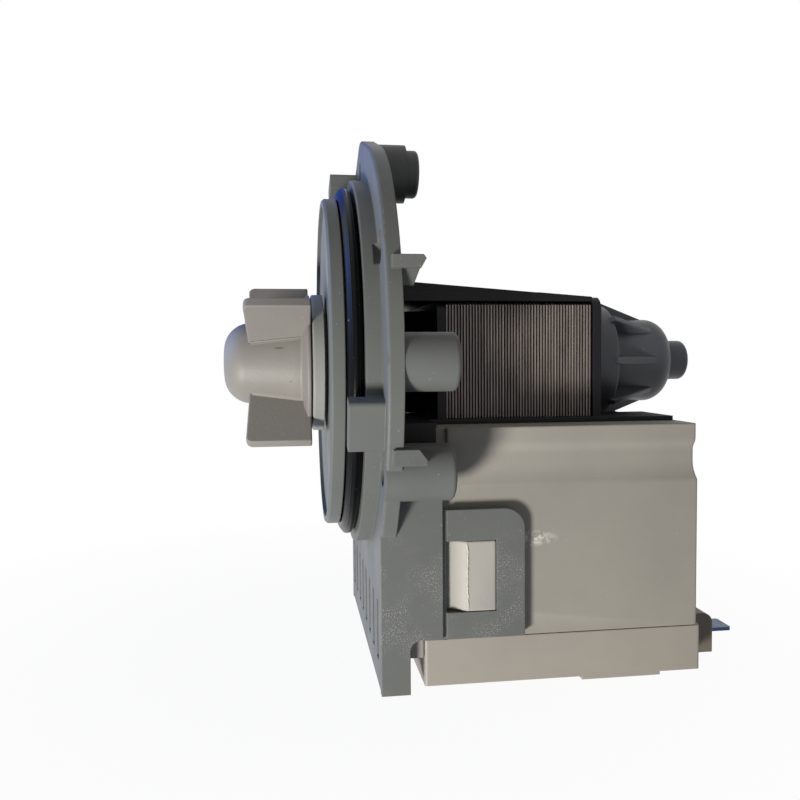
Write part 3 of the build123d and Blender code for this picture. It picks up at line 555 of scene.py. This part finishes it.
def shape_housing(work):
    """Take out the steps' flat ledges and move the outer skin onto the smooth waist."""
    flats = [f for f in work.faces
             if any(all(abs(v.co.z - z) < 1e-6 for v in f.verts) for z in LEDGES)]
    print("ledge faces taken out:", len(flats))
    bmesh.ops.delete(work, geom=flats, context="FACES_ONLY")
    slice_level(work, STRIPS)
    moves = []
    for vert in work.verts:
        half = layer_half(vert)
        change = wall_half(vert.co.z) - half
        if half - SKIN < abs(vert.co.y) < half + 1e-6:
            moves.append((vert, 1, change * math.copysign(1, vert.co.y)))
        if vert.co.x > BACK_SKIN:
            moves.append((vert, 0, wall_half(vert.co.z) - WALL_HALF))
    for vert, axis, change in moves:
        vert.co[axis] += change


def shaped(name, source, finish, width, shape=None):
    """Copy a node, shape it where a shape is given, and roll its edges by the width."""
    mesh = nodes[source].data.copy()
    mesh.name = name
    work = bmesh.new()
    work.from_mesh(mesh)
    bmesh.ops.remove_doubles(work, verts=work.verts[:], dist=1e-6)
    bmesh.ops.dissolve_limit(work, angle_limit=math.radians(1.0), verts=work.verts[:],
                             edges=work.edges[:])
    if shape:
        shape(work)
        bmesh.ops.remove_doubles(work, verts=work.verts[:], dist=3e-6)
    work.to_mesh(mesh)
    work.free()
    mesh.polygons.foreach_set("use_smooth", [True] * len(mesh.polygons))
    mesh.set_sharp_from_angle(angle=math.radians(30))
    piece = bpy.data.objects.new(name, mesh)
    bpy.context.scene.collection.objects.link(piece)
    mesh.materials.clear()
    mesh.materials.append(finish)
    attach(piece, "housing")
    round_edges(piece, width)
    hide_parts(source)
    return piece


box = shaped("housing_box", "coil_housing", housing_beige, 0.25 * MM, shape_housing)
tray = shaped("cover_tray", "coil_cover", cover_beige, 0.3 * MM)
print("shaped:", len(box.data.polygons), "and", len(tray.data.polygons), "faces")

# %% [markdown]
# Where the two sides of the mould met, a thread of flash stands on the clip hook. It is
# a thin tube along a jagged line: the line wanders by a tenth of a millimetre, and the
# tube is thicker in one place than in the next, drawn from a seeded random row.

# %%
# Flash on the clip hook
random.seed(5)
FLASH_X, FLASH_Y = 17.4 * MM, -35.04 * MM
heights = np.linspace(-49.3, -36.2, 46) * MM
wander = [FLASH_X + random.uniform(-0.13, 0.13) * MM for _ in heights]
thick = [random.uniform(0.09, 0.22) * MM for _ in heights]
around = np.linspace(0, 2 * np.pi, 6, endpoint=False)
points = [(x + t * math.cos(a), FLASH_Y + 0.6 * t * math.sin(a), z)
          for x, z, t in zip(wander, heights, thick) for a in around]
faces = [(6 * i + k, 6 * i + (k + 1) % 6, 6 * i + 6 + (k + 1) % 6, 6 * i + 6 + k)
         for i in range(len(heights) - 1) for k in range(6)]
# The flash's pale finish is partly painted highlight.
flash = build("hook_flash", points, faces, flash_pale_and_highlight, "housing", sharp=80)
print("flash", round((heights[-1] - heights[0]) / MM, 1), "mm long")

# %% [markdown]
# Fifty sheets of electrical steel make the core. The frame has it as one block with fine
# cuts, but in close-up each sheet should have its own edge: they are never stacked quite
# flush. Each one is an outline with the rotor's hole in it, pushed out by its thickness,
# and shifted sideways by a few hundredths of a millimetre.

# %%
# Core sheets
random.seed(11)
low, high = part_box("stator_core")
core_front, core_back = low[0], high[0]
half_width, core_top, legs_low = high[1], high[2], low[2]
SHEETS, BORE, HEAD_LOW, LEG_IN = 50, 12.35 * MM, -13.55 * MM, 10.5 * MM
pitch = (core_back - core_front) / SHEETS
angles = np.linspace(0, 2 * np.pi, 72, endpoint=False)


def head_reach(angle, half, top, bottom):
    """Distance from the axis to the head's square edge along an angle."""
    c, s = math.cos(angle), math.sin(angle)
    side = half / abs(c) if abs(c) > 1e-9 else 1e9
    lift = (top / s if s > 0 else bottom / s) if abs(s) > 1e-9 else 1e9
    return min(side, lift)


def sheet(x0, x1, shift, grow):
    """Make one punched sheet: a square head with a round hole, and two legs."""
    half, top = half_width + grow, core_top + grow * 0.5
    n = len(angles)
    rings = []
    for x in (x0, x1):
        inner = [(x, BORE * math.cos(a) + shift, BORE * math.sin(a)) for a in angles]
        reach = [head_reach(a, half, top, HEAD_LOW) for a in angles]
        outer = [(x, d * math.cos(a) + shift, d * math.sin(a)) for a, d in zip(angles, reach)]
        rings += [inner, outer]
    points = [p for ring in rings for p in ring]
    faces = []
    for i in range(n):
        j = (i + 1) % n
        faces += [(i, j, n + j, n + i), (2 * n + j, 2 * n + i, 3 * n + i, 3 * n + j),
                  (n + i, n + j, 3 * n + j, 3 * n + i), (j, i, 2 * n + i, 2 * n + j)]
    boxes = []
    for y0, y1 in ((-half, -LEG_IN), (LEG_IN, half)):
        corners = [(x, y + shift, z) for x in (x0, x1) for y in (y0, y1)
                   for z in (legs_low, HEAD_LOW)]
        boxes.append((corners, [(0, 1, 3, 2), (4, 6, 7, 5), (0, 4, 5, 1), (2, 3, 7, 6),
                                (0, 2, 6, 4), (1, 5, 7, 3)]))
    return joined((points, faces), *boxes)


stack = []
for i in range(SHEETS):
    front = core_front + i * pitch
    wander = random.uniform(-0.025, 0.025) * MM
    stack.append(sheet(front, front + pitch * 0.45, wander, random.uniform(-0.05, 0.0) * MM))
bond = sheet(core_front + 0.1 * MM, core_back - 0.3 * MM, 0.0, -0.7 * MM)
core = build("core_sheets", *joined(*stack), core_steel, "housing", sharp=20)
glue = build("core_bond", *bond, black_plastic, "housing", sharp=20)
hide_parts("stator_core")
print("sheets:", SHEETS, "pitch", round(pitch / MM, 3), "mm")

# %% [markdown]
# The bell closes the motor behind the core. Eight thin ribs brace its step, and a small
# stub ends it. Body and stub are one profile turned on the lathe, and the ribs are
# wedges that run down into it.

# %%
# Rear bell, its profile in millimetres from the bell's front
low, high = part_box("rear_bell")
bell_front, stub_end = low[0], high[0]
SKIRT_LENGTH, BARREL, SHOULDER, STUB, STUB_LENGTH = 8.0, 10.0, 4.8, 4.8, 29.5
skirt = soften([(0, 12.3), (0, 14.5), (SKIRT_LENGTH, 13.3), (SKIRT_LENGTH, BARREL),
                (12, BARREL)], 0.35)[:-1]
shoulder = [(19.1 + SHOULDER * math.sin(a), BARREL - SHOULDER + SHOULDER * math.cos(a))
            for a in np.linspace(0, 1.5, 14)]
stub = soften([(23.9, 5.0), (23.95, STUB), (STUB_LENGTH, STUB), (STUB_LENGTH, 0)], 1.2, 8)[1:]
bell_profile = np.concatenate([skirt, shoulder, stub]) * MM
bell_profile[:, 0] += bell_front
RIBS, RIB_WIDTH = 8, 1.7 * MM
wedge = np.array([(18.6, 8.6), (18.6, 9.95), (SKIRT_LENGTH, 14.1), (6.5, 13.4),
                  (6.5, 8.6)]) * MM
wedge[:, 0] += bell_front
ribs = joined(*(prism(wedge, RIB_WIDTH, 2 * math.pi * i / RIBS) for i in range(RIBS)))
bell = build("bell_body", *swept(bell_profile, 140), bell_charcoal, "housing", sharp=45)
bell_ribs = build("bell_ribs", *ribs, bell_charcoal, "housing")
round_edges(bell_ribs, 0.25 * MM, 2)
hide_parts("rear_bell")
print("bell ends at", round(stub_end / MM, 1), "mm")

# %% [markdown]
# The pump stands on a pale floor that fades into white. The world is white to the
# camera and softly grey to everything else, which Light Path tells apart. Mirror-like
# and see-through rays count as the camera's, so that shiny faces show that white too.

# %%
# Floor and world
FLOOR_REACH, FLOOR_GAP = 3.0, 0.1 * MM
FADE_START, FADE_END = 0.05, 0.17


def seen_directly(tree):
    """Return 1 for rays that carry the background to the eye, and 0 for all others."""
    path = add_node(tree, "ShaderNodeLightPath").outputs
    seen = path["Is Camera Ray"]
    for ray in ("Is Glossy Ray", "Is Transmission Ray"):
        seen = add_node(tree, "ShaderNodeMath", {"operation": "MAXIMUM"}, in0=seen,
                        in1=path[ray]).outputs[0]
    return seen


floor_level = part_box("flange_moulding")[0][2]
floor_mesh = bpy.data.meshes.new("floor")
signs = ((-1, -1), (1, -1), (1, 1), (-1, 1))
floor_mesh.from_pydata([(x * FLOOR_REACH, y * FLOOR_REACH, 0) for x, y in signs], [],
                       [(0, 1, 2, 3)])
floor_mesh.transform(Matrix.Translation((0, 0, floor_level - FLOOR_GAP)))
floor = bpy.data.objects.new("floor", floor_mesh)
bpy.context.scene.collection.objects.link(floor)
floor_material, tree = new_material("floor_white")
place = add_node(tree, "ShaderNodeTexCoord").outputs["Object"]
away = add_node(tree, "ShaderNodeVectorMath", {"operation": "LENGTH"}, in0=place)
fade = add_node(tree, "ShaderNodeMapRange", in0=away.outputs["Value"], in1=FADE_START,
                in2=FADE_END, in3=0.93, in4=1.0)
share = add_node(tree, "ShaderNodeMath", {"operation": "MULTIPLY"},
                 in0=seen_directly(tree), in1=fade.outputs[0])
matt = add_node(tree, "ShaderNodeBsdfDiffuse", Color=linear("#F4F4F4"))
glow = add_node(tree, "ShaderNodeEmission", Color=(1, 1, 1, 1), Strength=1.0)
mix = add_node(tree, "ShaderNodeMixShader", in0=share.outputs[0], in1=matt.outputs[0],
               in2=glow.outputs[0])
add_node(tree, "ShaderNodeOutputMaterial", Surface=mix.outputs[0])
floor_mesh.materials.append(floor_material)
floor.visible_shadow = False

world = bpy.data.worlds.new("studio")
world.use_nodes = True
world.node_tree.nodes.clear()
tree = world.node_tree
white = add_node(tree, "ShaderNodeBackground", Color=(1, 1, 1, 1), Strength=1.0)
fill = add_node(tree, "ShaderNodeBackground", Color=linear("#DCD8D2"), Strength=0.18)
chosen = add_node(tree, "ShaderNodeMixShader", in0=seen_directly(tree),
                  in1=fill.outputs[0], in2=white.outputs[0])
add_node(tree, "ShaderNodeOutputWorld", Surface=chosen.outputs[0])
bpy.context.scene.world = world
print("floor at", round(floor_level / MM, 1), "mm")

# %% [markdown]
# The photograph was taken from close by, level with the rotor and turned a few degrees,
# which is why the flange shows its front on the left and the box its top. A camera is
# a place and three directions, so its matrix is written straight from those angles.

# %%
# Camera
LENS, SENSOR, EYE = 35.55, 36.0, (-0.0171, -0.187, 0.0)
YAW, PITCH, ROLL = math.radians(7.93), math.radians(-2.75), math.radians(-0.45)
ahead = Vector((math.sin(YAW) * math.cos(PITCH), math.cos(YAW) * math.cos(PITCH),
                math.sin(PITCH)))
level_right = Vector((math.cos(YAW), -math.sin(YAW), 0))
level_up = level_right.cross(ahead)
right = level_right * math.cos(ROLL) + level_up * math.sin(ROLL)
up = level_up * math.cos(ROLL) - level_right * math.sin(ROLL)
camera_data = bpy.data.cameras.new("camera")
camera_data.lens = LENS
camera_data.sensor_width = SENSOR
camera_data.clip_start = 0.01
camera = bpy.data.objects.new("camera", camera_data)
bpy.context.scene.collection.objects.link(camera)
turn = Matrix((right, up, -ahead)).transposed().to_4x4()
camera.matrix_world = Matrix.Translation(EYE) @ turn
bpy.context.scene.camera = camera
print("camera looks along", [round(v, 3) for v in ahead])

# %% [markdown]
# In the photograph the light comes mostly from the left front and from below, so the
# faces that look up stay dark, and shadows climb up the housing. A small area light
# makes that key, a large weak one above opens the shadows, and a blue one behind on the
# left tints what looks that way. A glowing blue panel behind the pump is seen only by
# mirror-like rays, and puts the blue gleam on the edges of the rubber and the plastic.

# %%
# Lights
def area_light(name, place, target, size, power, colour):
    """Add a square area light at a place, aimed at a target."""
    data = bpy.data.lights.new(name, "AREA")
    data.energy = power
    data.size = size
    data.color = linear(colour)[:3]
    light = bpy.data.objects.new(name, data)
    light.location = place
    light.rotation_euler = (Vector(target) - Vector(place)).to_track_quat("-Z", "Y").to_euler()
    bpy.context.scene.collection.objects.link(light)


area_light("window_above", (-0.1, -0.1, 0.6), (0.02, 0, -0.01), 0.5, 0.2, "#FFF9F0")
area_light("key_low_left", (-0.35, -0.41, -0.27), (0.01, 0, -0.01), 0.13, 4.5, "#FFFAF4")
area_light("blue_left", (-0.46, 0.14, 0.22), (0, 0, 0.03), 0.3, 1.6, "#3E82E6")


def glossy_panel(name, place, size, colour, strength):
    """Stand a glowing panel, facing -Y, that only mirror-like reflections see."""
    mesh = bpy.data.meshes.new(name)
    mesh.from_pydata([(x * size / 2, 0, z * size / 2) for x, z in signs], [], [(0, 1, 2, 3)])
    mesh.transform(Matrix.Translation(place))
    panel = bpy.data.objects.new(name, mesh)
    bpy.context.scene.collection.objects.link(panel)
    material, tree = new_material(name)
    glow = add_node(tree, "ShaderNodeEmission", Color=linear(colour), Strength=strength)
    add_node(tree, "ShaderNodeOutputMaterial", Surface=glow.outputs[0])
    mesh.materials.append(material)
    panel.visible_camera = panel.visible_diffuse = panel.visible_shadow = False


glossy_panel("blue_wall", (-0.2, 0.6, 0.4), 0.46, "#2B52B4", 2.0)
bpy.context.scene.view_settings.view_transform = "Standard"
